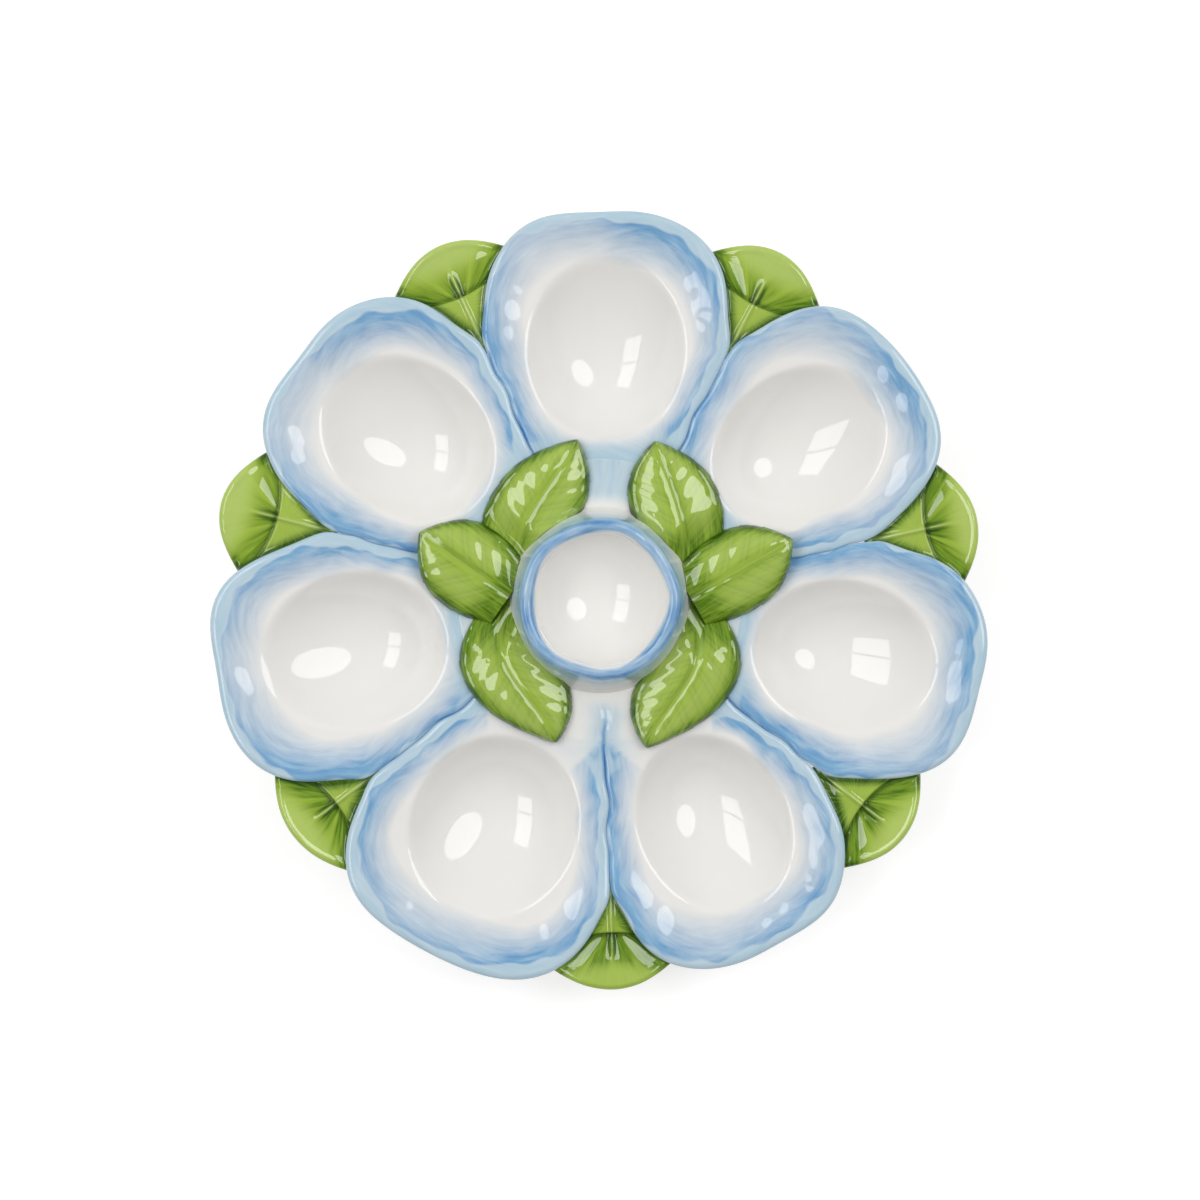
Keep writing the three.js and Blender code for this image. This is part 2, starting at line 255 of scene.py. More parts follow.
def painted_glaze(name, ground, thin_ground, paints, stroke, ior):
    """A ground that clouds towards its thin colour, with paints laid over it in turn. A paint is
    its thin and its thick colour, its least strength and how much more the brush strokes add. The
    stroke gives the length and width of the brush marks."""
    material, tree, shader = new_material(name)
    shader.inputs["IOR"].default_value = ior
    shader.inputs["Roughness"].default_value = GLAZE_ROUGHNESS

    place = add_node(tree, "TexCoord")["Object"]
    brush = add_node(tree, "Attribute", attribute_name="brush")["Vector"]
    paint = add_node(tree, "Attribute", attribute_name="paint")["Vector"]
    length, width = stroke
    scale = (1 / length, 1 / length, 1 / width)
    scaled = add_node(tree, "Mapping", {"Vector": brush}, {"Scale": scale})[0]
    noise = {"Scale": 1, "Detail": 4, "Roughness": 0.6}
    marks = add_node(tree, "TexNoise", {"Vector": scaled}, noise)["Fac"]
    load = add_node(tree, "MapRange", {0: marks}, {1: DRY_BRUSH, 2: FULL_BRUSH})[0]
    noise = {"Scale": 1 / (CLOUD * MM), "Detail": 2}
    clouds = add_node(tree, "TexNoise", {"Vector": place}, noise)["Fac"]
    grounds = {6: linear(ground), 7: linear(thin_ground)}
    colour = add_node(tree, "Mix", {0: clouds}, grounds, data_type="RGBA")[2]
    strengths = add_node(tree, "SeparateXYZ", {0: paint})
    for strength, (thin, thick, least, more) in zip(strengths, paints):
        hues = {6: linear(thin), 7: linear(thick)}
        hue = add_node(tree, "Mix", {0: load}, hues, data_type="RGBA")[2]
        laid = {1: more, 2: least}
        coverage = add_node(tree, "Math", {0: load}, laid, operation="MULTIPLY_ADD")[0]
        amounts = {0: strength, 1: coverage}
        amount = add_node(tree, "Math", amounts, operation="MULTIPLY", use_clamp=True)[0]
        colour = add_node(tree, "Mix", {0: amount, 6: colour, 7: hue}, data_type="RGBA")[2]
    tree.links.new(colour, shader.inputs["Base Color"])

    noise = {"Scale": 1 / (RIPPLE * MM), "Detail": 1}
    ripples = add_node(tree, "TexNoise", {"Vector": place}, noise)["Fac"]
    bump = {"Strength": 1, "Distance": RIPPLE_HEIGHT * MM}
    relief = add_node(tree, "Bump", {"Height": ripples}, bump)[0]
    tree.links.new(relief, shader.inputs["Normal"])
    return material


print("ripples", RIPPLE, "mm wide, clouds of colour", CLOUD, "mm wide")

# %% Two glazes
# Tin glaze is an opaque white glass. Blue that is brushed on it melts in, so its edges are soft, it
# is pale where the brush ran dry and deep where it settled.
blue_glaze = painted_glaze(
    "blue painted tin glaze", "#f4f2ee", "#efeeea",
    [
        ("#95c1df", "#6b9dcb", 0.75, 0.3),  # brushed blue
        ("#c4dae5", "#b1cedf", 0.9, 0.15),  # sky blue
        ("#74a9d3", "#3d7dbd", 0.65, 0.4),  # full blue, settled in seams
    ],
    stroke=(11, 1.8), ior=1.54,
)
# Lead glaze is clear and bends light more, so its highlights are brighter. Green lies thin and pale
# on the crowns of a leaf, and pools dark along its edges and folds. Where the leaves meet the rims
# and the cup, and on the lower fan leaves, the dark greens are partly painted shade.
green_glaze = painted_glaze(
    "green lead glaze", "#a8c53e", "#b6d054",
    [
        # the brushed and dark greens are partly painted shade by the rims, at the cup and on the
        # lower fans
        ("#6f971c", "#466e08", 0.5, 0.7),  # brushed green
        ("#cbdc90", "#b9d06c", 0.5, 0.5),  # thin glaze on crowns and ribs
        ("#3a6006", "#204402", 0.7, 0.5),  # dark green, pooled
    ],
    stroke=(9, 0.9), ior=1.72,
)
print("glazes:", blue_glaze.name, "and", green_glaze.name)

# %% [markdown]
# ## Hand setting
#
# A potter sets the dishes by eye, so no seam stands on its even place, and each one wanders a
# little where the wet rims were pinched together. Both are a turn about the middle of the tray that
# depends on where a point is. Every piece goes through the same turn, so neighbours still fit.

# %% Where hand setting puts a point
DISHES = 7
SEAM_ANGLE = np.pi / DISHES
SEAM_TURNS = np.radians([1.7, 0.5, -0.6, -2, 1, 1.5, 1.1])  # of the seam after each dish, clockwise
WANDER_WAVES = [(0.5, 4.1, 2.4), (0.25, 2.3, 4.1)]  # height, length, and shift from seam to seam
WANDER_WIDTH = 5  # how far from a seam its wandering reaches
WANDER_STARTS, WANDER_ENDS = (38, 52), (92, 80)  # distances over which it grows and dies away


def seam_place(turn, reach):
    """The nearest seam's number and how far a point lies from that seam, clockwise."""
    place = turn / (2 * SEAM_ANGLE) - 0.5
    nearest = np.round(place)
    return nearest % DISHES, (place - nearest) * 2 * SEAM_ANGLE * reach


def hand_placed(turn, reach, height):
    """Points from clockwise turns, distances from the middle and heights. The turn shifts smoothly
    from each seam's own shift to the next, and near a seam it follows a sum of two waves."""
    place = turn / (2 * SEAM_ANGLE) - 0.5
    before = np.floor(place).astype(int)
    shifts = SEAM_TURNS[np.stack([before, before + 1]) % DISHES]
    shift = mix(*shifts, ease(0, 1, place - before))
    seam, aside = seam_place(turn, reach)
    wander = sum(high * np.sin(reach / long + step * seam) for high, long, step in WANDER_WAVES)
    wander = wander * ease(*WANDER_STARTS, reach) * ease(*WANDER_ENDS, reach)
    turned = turn + shift + wander * bell(aside, WANDER_WIDTH) / reach
    return spread(reach * np.sin(turned), reach * np.cos(turned), height)


seam_turns = np.degrees((2 * np.arange(DISHES) + 1) * SEAM_ANGLE + SEAM_TURNS)
print("seams at", seam_turns.round(1), "degrees, clockwise from the top")

# %% [markdown]
# ## Egg dishes
#
# Each dish was pressed in a mould: an oval well for the egg, a brim that sweeps up to a raised rim,
# and sides cut to meet its neighbours. It could be sculpted or subdivided from a cage; instead its
# section along a spoke from the middle of the well is one formula, and the spoke is swept once
# round. The lip is an ellipse, while the edge is the nearest of a rounded end, two seams and the
# hub.

# %% Outline of a dish
WELL_PLACE = 84  # from the middle of the tray to the middle of a well
LIP_LENGTH, LIP_WIDTH = 30.5, 25.5  # half the size of a well
LOBE_LENGTH, LOBE_WIDTH = 46, 39.8  # half the size of the rounded end
LOBE_EXPONENT = 3  # 2 would make that end an ellipse, a high value a rectangle
CORNER_SHARPNESS = 60
LOBE_GROWTHS = [0, -0.6, 0.3, -0.4, 1.3, 0.9, -0.4]  # each dish's own size
LOBE_SKEWS = [-0.5, -0.8, 0.6, 1.6, -0.6, -1.1, -0.2]  # and how much larger its clockwise side is
RIM_SWELL, RIM_SWELL_TURN, RIM_SWELL_WIDTH = 1.4, 88, 14  # where the rims meet; turns in degrees
SIDE_SWELL_TURN, SIDE_SWELL_WIDTH = 60, 18  # beside the fan leaves
SIDE_SWELLS = [  # of each dish, beside the leaf before it and the leaf after it
    (0.8, 1.4), (0.9, 1), (0.9, -1.3), (1.8, 1.9), (2.4, 1.7), (-0.3, -1.3), (0.2, 1.7),
]
HUB_RADIUS, HUB_LAP = 48, 0.6  # the dishes lap over the hub's edge
NEARLY_PARALLEL = 0.01  # a spoke that leans less towards a seam does not meet it


def swell(dish, angle):
    """How much fuller a dish is than its rounded end: a bell on both sides, which makes the rims
    meet further out, and a bell of its own height beside each fan leaf."""
    turned = np.degrees(np.abs(angle))
    meeting = RIM_SWELL * bell(turned - RIM_SWELL_TURN, RIM_SWELL_WIDTH)
    beside = np.where(angle < 0, *SIDE_SWELLS[dish])
    return meeting + beside * bell(turned - SIDE_SWELL_TURN, SIDE_SWELL_WIDTH)


def spokes(dish, angle):
    """Distances from the middle of a well to its lip and to the dish's edge, along spokes at angles
    from outwards, and the share of the edge that is a seam. The edge is the least of its limits,
    each raised to a high negative power and summed, which rounds the corners between them."""
    side, out = np.sin(angle), np.cos(angle)
    lip = 1 / np.hypot(side / LIP_WIDTH, out / LIP_LENGTH)
    across, along = np.abs(side / LOBE_WIDTH), np.abs(out / LOBE_LENGTH)
    rounded = (across**LOBE_EXPONENT + along**LOBE_EXPONENT) ** (-1 / LOBE_EXPONENT)
    rounded = rounded + LOBE_GROWTHS[dish] + LOBE_SKEWS[dish] * side + swell(dish, angle)
    rounded = rounded + waves(angle, (5, 0.25, dish), (9, 0.2, 2 * dish))
    towards = np.sin(np.abs(angle) - SEAM_ANGLE)
    towards = np.where(towards > NEARLY_PARALLEL, towards, np.nan)
    seam = WELL_PLACE * np.sin(SEAM_ANGLE) / towards
    meets = (HUB_RADIUS - HUB_LAP) ** 2 - (WELL_PLACE * side) ** 2
    hub = -WELL_PLACE * out - np.sqrt(np.where((out < 0) & (meets > 0), meets, np.nan))
    limits = np.nan_to_num(np.stack([rounded, seam, hub]), nan=np.inf) ** -float(CORNER_SHARPNESS)
    return lip, limits.sum(0) ** (-1 / CORNER_SHARPNESS), limits[1] / limits.sum(0)


print("dish 1 reaches", WELL_PLACE + spokes(0, np.zeros(1))[1].round(1)[0], "mm from the middle")

# %% Height of a dish
WELL_FLOOR, BRIM = 8, 23  # above the table
WELL_DEPTH, WALL = 15, 5
WELL_TILT = 6  # leans the floors of the wells towards the hub
BOWL_STEEPNESS, BOWL_END = 0.68, 1.18  # at the lip, and how far past the lip the bowl is drawn
LIP_ROUND, BRIM_SWEEP = 1, 2.2  # a higher sweep keeps the brim level for longer
RIM_RISE, RISE_START, RISE_END = 3, 71.4, 117  # and where, from the middle of the tray


def rim_rise(radius):
    """How far the rim stands above the brim at a distance from the middle of the tray."""
    return RIM_RISE * ease(RISE_START, RISE_END, radius)


def shell_height(reach, angle, lip, crest, floor, rise):
    """Height of a dish's wall along a spoke: the lower of a bowl, a slice of a ball that starts at
    the floor and leans towards the hub, and a brim, which leaves the lip level and sweeps up to the
    crest."""
    share = np.minimum(reach / lip, BOWL_END)
    slice_depth = 1 - np.sqrt(1 - BOWL_STEEPNESS)
    bowl = WELL_DEPTH * (1 - np.sqrt(1 - BOWL_STEEPNESS * share**2)) / slice_depth
    lean = WELL_TILT * reach / LIP_LENGTH * np.cos(angle) * np.clip(1 - share**2, 0, 1)
    sweep = np.sin(np.pi / 2 * np.clip((reach - lip) / (crest - lip), 0, 1)) ** BRIM_SWEEP
    return floor + lower_of(bowl + lean, WELL_DEPTH + rise * sweep, LIP_ROUND)


print("rims stand", BRIM + rim_rise(np.array([48, 94, 130])).round(1), "mm high, going outwards")

# %% Section of a dish
RIM_THICKNESS, UNDER_ROUND = 4.4, 1.6
DISH_COLUMNS = 288
UNDER_ROWS, BELOW_ROWS, OVER_ROWS = 22, 4, 10
BRIM_ROWS, LIP_ROWS, BOWL_ROWS = 27, 17, 29
FIRM_RIM, FIRM_SEAM = (60, 100), (47, 58)  # distances over which rims and seams grow round
LIP_BAND, LIP_START = 2.5, 0.85  # rows are close together from past the lip to a share of it


def dish_section(dish, angle):
    """Reaches and heights along the spokes, from the middle of the underside out round the rim and
    back over the brim into the well, and which rows are on the top. Then each spoke's edge, its
    share of seam and its distance from the middle of the tray. The rim is two quarter ellipses, a
    tall one below and a flat one over it."""
    lip, edge, seam = spokes(dish, angle)
    radius = np.hypot(edge * np.sin(angle), WELL_PLACE + edge * np.cos(angle))
    rise = rim_rise(radius) + ease(52, 70, radius) * waves(
        angle, (7, 0.15, dish), (12, 0.1, 3 * dish)
    )
    firm = np.maximum(ease(*FIRM_RIM, radius), seam * ease(*FIRM_SEAM, radius))
    round_in = mix(1, mix(2.2, 2.4, seam), firm)
    round_down = mix(0.1, mix(1.6, 1.1, seam), firm)
    crest = edge - round_in
    under_crest = edge - UNDER_ROUND * mix(0.3, 1, rise / RIM_RISE)
    under_lip = np.minimum(lip + 0.7 * WALL, mix(lip, under_crest, 0.8))

    under = np.linspace(0, 1, UNDER_ROWS)[:, None] * under_crest
    under_floor, under_rise = WELL_FLOOR - WALL, rise + WALL - RIM_THICKNESS
    under_height = shell_height(under, angle, under_lip, under_crest, under_floor, under_rise)
    lift = np.radians(np.linspace(15, 75, BELOW_ROWS))[:, None]
    below = under_crest + (edge - under_crest) * np.sin(lift)
    below_height = (RIM_THICKNESS - round_down) * (1 - np.cos(lift)) - RIM_THICKNESS
    fall = np.radians(np.linspace(90, 0, OVER_ROWS))[:, None]
    over = crest + round_in * np.sin(fall)
    over_height = -round_down * (1 - np.cos(fall))

    brim_end = lip + np.minimum(LIP_BAND, 0.4 * (crest - lip))
    top = np.vstack([
        mix(crest, brim_end, np.linspace(0, 1, BRIM_ROWS)[1:, None]),
        mix(brim_end, LIP_START * lip, np.linspace(0, 1, LIP_ROWS)[1:, None]),
        LIP_START * lip * np.linspace(1, 0, BOWL_ROWS)[1:, None],
    ])
    across_brim = np.clip((top - lip) / (crest - lip), 0, 1)
    scallops = waves(angle, (9, 0.08, dish), (14, 0.1, 2 * dish), (23, 0.07, dish))
    scallops = ease(95, 115, radius) * scallops * np.sin(np.pi * across_brim) ** 2
    top_height = shell_height(top, angle, lip, crest, WELL_FLOOR, rise) + scallops

    reach = np.vstack([under, below, over, top])
    rim_heights = BRIM + rise + np.vstack([below_height, over_height])
    height = np.vstack([under_height, rim_heights, top_height])
    upper = np.repeat([0, 1], [len(under) + len(below), len(over) + len(top)])[:, None]
    return reach, height, upper, edge, seam, radius


angle = once_round(DISH_COLUMNS)
print("a dish is a grid of", dish_section(0, angle)[0].shape, "points")

# %% [markdown]
# ### Paint on the dishes
#
# A pale sky blue was run round every rim, a stronger blue brushed on inside it and drawn out
# towards the white well, and a full blue left to settle in the seams. All three depend on how far a
# point is from the dish's edge. The brushed blue is widest at the outer end and thin near the hub.

# %% Paint of a dish
PAINT_LOADS = [1.08, 1.1, 1.25, 1.18, 1.1, 1.12, 1.08]  # how much paint each dish was given
INNER_LOADS = [0.3, 0.4, 0.3, 0.05, 0.05, 0.3, 0.4]  # and how much of it near the hub
INNER_SKIES = [1.3, 1.3, 1.2, 0.15, 0.15, 1.2, 1.3]  # sky blue drawn out from the hub
BANDS = [(0, 1), (0, 1), (0, 0), (1, 0), (1, 1), (0, 1), (0, 1)]  # seams where its sky blue shows
HUB_TO_RIM = (47, 62)  # distances over which the paint changes from the hub's to the rim's
SKY_WIDTH, SEAM_SKY, BARE_SKY = 3.3, 1.1, 0.6  # on a rim, more of it on a seam, and without a band
BRUSHED_END = 13.2  # how far in the brushed blue is drawn
BRUSH_SPAN = 20  # columns on each side that the brush levels out


def dish_paint(reach, upper, edge, seam, radius, angle, dish):
    """Strengths of the brushed, sky and full blues from the distance to the edge: the sky blue up
    to a start, the brushed blue falling evenly from the start to an end, the full blue as a line in
    a seam, fainter outwards, and as a stain beside it where no sky blue shows. Inside the rim, the
    edge is averaged with its neighbours, because a brush does not follow sharp corners."""
    span = range(-BRUSH_SPAN, BRUSH_SPAN + 1)
    soft_edge = np.mean([np.roll(edge, step) for step in span], axis=0)
    from_edge = edge - reach + (soft_edge - edge) * ease(0, 5, edge - reach)
    out, outwards = np.cos(angle), ease(*HUB_TO_RIM, radius)
    banded = mix(1, np.where(angle < 0, *BANDS[dish]), ease(0.3, 0.8, np.abs(np.sin(angle))))
    start = mix(BARE_SKY, SKY_WIDTH + SEAM_SKY * seam, banded) + 0.5 * out + waves(
        angle, (5, 0.45, dish), (11, 0.5, 2 * dish), (19, 0.45, dish), (31, 0.25, 3 * dish)
    )
    end = BRUSHED_END + 4 * out + out**2 + waves(angle, (3, 0.8, 2 * dish), (7, 0.5, dish))
    load = PAINT_LOADS[dish] * (1 - 0.13 * ease(0.3, 0.9, out))
    load = load + waves(angle, (2, 0.12, 2 * dish), (3, 0.18, dish))

    inside = ease(-0.9, 0.5, from_edge - start)
    fade = np.clip((end - from_edge) / (end - start), 0, 1) ** 0.85
    near_hub = np.maximum(INNER_LOADS[dish], 0.5 * seam)
    brushed = fade * mix(0.2, 1, inside) * load * mix(near_hub, 1, outwards)
    brushed = brushed + 0.3 * seam * bell(from_edge - start, 2.2) * bell(radius - 62, 8)
    sky = (1 - inside) * mix(np.maximum(near_hub, 0.9 * seam), 1, outwards)
    sky = sky + INNER_SKIES[dish] * (1 - outwards) * ease(11, 1, from_edge)
    line = seam * bell(from_edge, 0.7) * mix(0.85, 0.45, banded) * ease(45, 48, radius)
    line = line * mix(1, 0.5, ease(60, 72, radius))
    pool = 0.12 * bell(from_edge - start - 0.3, 0.5) * load * outwards
    stain = 0.5 * seam * (1 - banded) * bell(from_edge - 1.5, 2.5) * bell(radius - 60, 13)
    settled = line + pool + stain
    below = bell(from_edge, 3)
    return spread(brushed * upper, mix(below, sky, upper), settled * upper)


print("the brushed blue ends about", BRUSHED_END + 5, "mm inside the outer rim")

# %% Seven dishes
LOWEST_SEAM = 3
STROKE_RADIUS, DISH_STEP = 40, 100  # keep the brush marks of the dishes apart
FULLEST_PAINT = 1.4


def lowest_seam_paint(seam, aside, reach):
    """Strengths of the blues where the lowest seam runs in towards the cup: bells of brushed and
    sky blue about the seam, and a settled line that grows outwards."""
    line = 0.9 * bell(aside - 0.3, 0.7) * ease(36, 46, reach)
    runs_in = (seam == LOWEST_SEAM) * ease(32, 39, reach) * ease(64, 52, reach)
    strengths = spread(0.3 * bell(aside - 1, 3.5), 0.8 * bell(aside + 0.5, 5), line)
    return runs_in[..., None] * strengths


for dish in range(DISHES):
    reach, height, upper, edge, seam, radius = dish_section(dish, angle)
    across, along = reach * np.sin(angle), WELL_PLACE + reach * np.cos(angle)
    turn = 2 * SEAM_ANGLE * dish + np.arctan2(across, along)
    from_middle = np.hypot(across, along)
    paint = dish_paint(reach, upper, edge, seam, radius, angle, dish)
    seam_paint = lowest_seam_paint(*seam_place(turn, from_middle), from_middle)
    paint = np.clip(paint + upper[..., None] * seam_paint, 0, FULLEST_PAINT)
    stroke_place = edge - reach + waves(angle, (3, 1.2, dish), (5, 0.8, 2 * dish))
    stroke_x, stroke_y = STROKE_RADIUS * np.cos(angle), STROKE_RADIUS * np.sin(angle)
    brush = spread(stroke_x, stroke_y + DISH_STEP * dish, stroke_place)
    points = hand_placed(turn, from_middle, height)
    add_piece(f"egg_dish_{dish + 1}", blue_glaze, points, paint, brush)

# %% [markdown]
# ## Hub
#
# The hub is the flat ring that the dishes are luted to. Little of it shows: a pale blue patch above
# the cup, and a white one below it, where the lowest seam runs in as a groove with blue in it.
# It is a section carried round the middle, with the groove pressed into its top. Its edge runs on
# a little below the ends of the dishes, so that no gap shows there.

# %% Hub ring
HUB_HOLE, HUB_ROWS, HUB_COLUMNS = 15.4, 48, 720
HUB_EDGE = np.array([  # out from the hub's radius and up from its top
    [-0.5, -0.1], [0.2, -0.3], [1.2, -0.6], [1.2, -4.6],
])

turn = once_round(HUB_COLUMNS) + SEAM_ANGLE
radius = np.r_[
    np.linspace(HUB_HOLE, HUB_RADIUS - 1, HUB_ROWS), HUB_RADIUS + HUB_EDGE[:, 0],
    np.linspace(HUB_RADIUS + 0.8, HUB_HOLE, 6), HUB_HOLE,
][:, None]
top = np.r_[np.zeros(HUB_ROWS), HUB_EDGE[:, 1], np.full(6, -WALL), -4.6][:, None]
seam, aside = seam_place(turn, radius)
line = aside - 0.8 * np.sin(radius / 2.3) * ease(47, 42, radius)
groove = 0.3 * bell(np.abs(line) - 2.6, 1.6) - 0.4 * bell(line, 1)
groove = groove * (seam == LOWEST_SEAM) * ease(33, 40, radius) * ease(46.5, 41, radius)
points = hand_placed(turn, radius, BRIM + top + groove * (top == 0))
above = ease(-0.8, 0.2, np.cos(turn)) * (top > -0.5)
brushed, sky = 0.25 * above * ease(36, 47, radius), 0.85 * above * ease(31, 37, radius)
paint = spread(brushed, sky, 0) + lowest_seam_paint(seam, line, radius)
brush = spread(radius, STROKE_RADIUS * np.cos(turn), STROKE_RADIUS * np.sin(turn))
add_piece("hub_plate", blue_glaze, points, paint, brush, ring=True)

# %% [markdown]
# ## Cup
#
# The cup was pressed by itself, and its rim pinched into an uneven wave. Its section is a smooth
# curve through a few keys: the bowl that hangs through the hub, the leaning wall, the round lip and
# the bowl's inside. It is swept round with a waver that grows towards the rim.

# %% Section of the cup
CUP_RIM, CUP_RIM_RADIUS, CUP_LIP, CUP_BORE = 39, 26.6, 4.6, 44
CUP_DEPTH, CUP_FOOT_RADIUS, CUP_NECK = 18, 28.5, 15.1
SEATED = BRIM - 0.1  # the cup sits a little into the hub

hanging = smooth_profile(
    [[0, 16], [9, 16.6], [13.6, 18.8], [CUP_NECK, 20.9], [CUP_NECK, SEATED]], 24
)
wall = smooth_profile([
    [CUP_FOOT_RADIUS + 2.8, SEATED], [CUP_FOOT_RADIUS + 1.6, BRIM + 1.6], [29.1, 27.6],
    [27.8, 32.5], [CUP_RIM_RADIUS, CUP_RIM - CUP_LIP / 2],
], 26)
lip_turn = np.radians(np.linspace(0, 180, 15))
lip = spread(
    CUP_RIM_RADIUS - CUP_LIP / 2 * (1 - np.cos(lip_turn)),
    CUP_RIM - CUP_LIP / 2 * (1 - np.sin(lip_turn)),
)
inside = np.linspace(0.93, 0, 34) ** 2  # share of the bowl's depth, with more rows near its floor
bowl = spread(CUP_BORE / 2 * np.sqrt(1 - (1 - inside) ** 2), CUP_RIM + CUP_DEPTH * (inside - 1))
cup_profile = np.vstack([hanging, wall, lip[1:], bowl])
rows = [len(hanging), len(wall), len(lip) - 1, len(bowl)]
inner_side = np.repeat([0, 0, 0.5, 1], rows)[:, None]
print("the cup's section has", sum(rows), "points and is", CUP_DEPTH, "mm deep inside")

# %% Cup, swept round and painted
CUP_COLUMNS = 288
DENTS = [(37, 6), (172, 5)]  # places and widths, in degrees, where the rim was pressed in
CUP_STROKE_RADIUS = 25

radius, height = cup_profile[:, :1], cup_profile[:, 1:]
turn = once_round(CUP_COLUMNS)
grown = ease(BRIM, CUP_RIM, height) * (radius > 0) * mix(1, 0.4, inner_side)
dents = sum(bell(np.degrees(turn) - place, width) for place, width in DENTS)
waver = waves(turn, (5, 0.4, 0), (3, 0.3, 1), (8, 0.1, 2)) - 0.4 * dents
lift = ease(BRIM + 6, CUP_RIM, height) * waves(turn, (4, 0.25, 0.7), (7, 0.06, 2))
reach = radius + grown * waver
lift = lift - 0.5 * grown * dents
points = spread(reach * np.sin(turn), reach * np.cos(turn), height + lift)

depth = CUP_RIM - height + waves(turn, (6, 0.7, 1), (11, 0.5, 2), (19, 0.3, 0))
painted_to = CUP_BORE / 2 + 0.6 + waves(turn, (2, 0.4, 1), (3, 0.4, 4), (5, 0.3, 0))
outside = height > BRIM - 1
blue = ease(12, 4, depth) * ease(-0.7, 0.7, radius - painted_to) * outside
streaks = np.sin(2.6 * radius + waves(turn, (1, 3, 0), (2, 1.8, 1), (5, 0.6, 2)))
thin = np.clip(np.sin(3.7 * radius + waves(turn, (1, 4, 2), (3, 1.5, 0), (7, 0.5, 1))), 0, 1)
settled = np.clip(0.6 - 0.8 * streaks + waves(turn, (3, 0.3, 2), (5, 0.3, 0)), 0, 1)
paint = spread(
    blue * (1.05 + 0.2 * streaks - 0.4 * thin),
    0.6 * bell(depth - 7, 5) * (inner_side < 1) * outside,
    blue * bell(depth - 1.4, 2.4) * settled,
)
stroke_x, stroke_y = CUP_STROKE_RADIUS * np.cos(turn), CUP_STROKE_RADIUS * np.sin(turn)
brush = spread(stroke_x, stroke_y, radius + height)
add_piece("centre_cup", blue_glaze, points, np.clip(paint, 0, 1), brush)

# %% [markdown]
# ## Foot ring
#
# Below the hub a turned ring carries the tray. Its sides are glazed, but the face it stands on was
# wiped clean before firing, or it would have stuck to the kiln shelf. Both finishes are one
# material, and the paint field says where the glaze was wiped off.

# %% Bare earthenware
# Fired clay without glaze is a warm buff and matt, and its fine grain makes it slightly mottled.
GRAIN = 0.6
GLAZED_ROUGHNESS, BARE_ROUGHNESS = 0.08, 0.75

clay, tree, shader = new_material("bare earthenware")
place = add_node(tree, "TexCoord")["Object"]
noise = {"Scale": 1 / (GRAIN * MM), "Detail": 3}
grain = add_node(tree, "TexNoise", {"Vector": place}, noise)["Fac"]
paint = add_node(tree, "Attribute", attribute_name="paint")["Vector"]
wiped = add_node(tree, "SeparateXYZ", {0: paint})[0]
buffs = {6: linear("#dcccb2"), 7: linear("#cdb897")}
body = add_node(tree, "Mix", {0: grain}, buffs, data_type="RGBA")[2]
glazed = {6: linear("#f1f0ec")}
colour = add_node(tree, "Mix", {0: wiped, 7: body}, glazed, data_type="RGBA")[2]
finish = {3: GLAZED_ROUGHNESS, 4: BARE_ROUGHNESS}
gloss = add_node(tree, "MapRange", {0: wiped}, finish)[0]
tree.links.new(colour, shader.inputs["Base Color"])
tree.links.new(gloss, shader.inputs["Roughness"])
print(clay.name, "with a grain of", GRAIN, "mm")

# %% Foot ring
FOOT_COLUMNS, FOOT_ROWS = 240, 96
FOOT_KEYS = [  # from the middle and up from the table, once round the section
    [46.3, 0.6], [46.8, 0], [50.2, 0], [50.8, 0.6], [49.2, 4], [46.5, 8.85], [44.6, 14],
    [44, 17.9], [39, 17.9], [39.6, 14], [41.5, 8.85], [44.2, 4], [46.3, 0.6],
]

turn = once_round(FOOT_COLUMNS)
profile = smooth_profile(FOOT_KEYS, FOOT_ROWS + 1)[:-1]
radius, height = profile[:, :1], np.maximum(profile[:, 1:], 0)
points = spread(radius * np.sin(turn), radius * np.cos(turn), height)
paint = spread(ease(0.9, 0.2, height), 0, 0)
add_piece("foot_ring", clay, points, paint, points, ring=True)

# %% [markdown]
# ## Sprig leaves
#
# The six leaves round the cup were pressed in a sprig mould and stuck on. A leaf is a map from a
# share along its midrib and a place between its edges to a point: a lens with small teeth, a dome
# with a rounded edge, a sunk midrib and pillows between the side veins. The two side leaves lie
# over their neighbours, so a neighbour is pressed flat where it runs under one of them.

# %% Outline of a sprig leaf
SPRIGS = {  # base turn, tip turn, tip's distance from the hub's edge, width, bow, lift of the tip
    "upper_left": (-74, -8, 6.3, 29.8, 3.5, 0.6),
    "left": (-87.5, -69.5, 16.5, 30.5, 0, 2.6),
    "lower_left": (-92, -163, 2, 31, 7.6, 0.6),
    "upper_right": (66, 19, 8.3, 30.6, 2.2, 0.6),
    "right": (88.5, 72.5, 19.5, 28.5, 0, 2.6),
    "lower_right": (93, 162.6, 4, 30.5, 7.6, 0.6),
}
OVER_SPRIGS = ("left", "right")
SPRIG_BASE, SPRIG_CLEAR = 30.2, 29.1  # from the middle to a leaf's base, and clear of the cup
SPRIG_BASE_SHARE, SPRIG_FULLEST = 0.76, 0.4  # width at the base, and where it is widest
TOOTH_SPACING, TOOTH_DEPTH = 6.5, 0.25


def fullness(share):
    """Half width along a leaf: it grows from the base as a sine and closes as a cosine."""
    grows = mix(SPRIG_BASE_SHARE, 1, np.sin(np.clip(share / SPRIG_FULLEST, 0, 1) * np.pi / 2))
    onwards = np.clip((share - SPRIG_FULLEST) / (1 - SPRIG_FULLEST), 0, 1)
    return np.where(share < SPRIG_FULLEST, grows, np.cos(np.pi / 2 * onwards**1.45) ** 0.85)


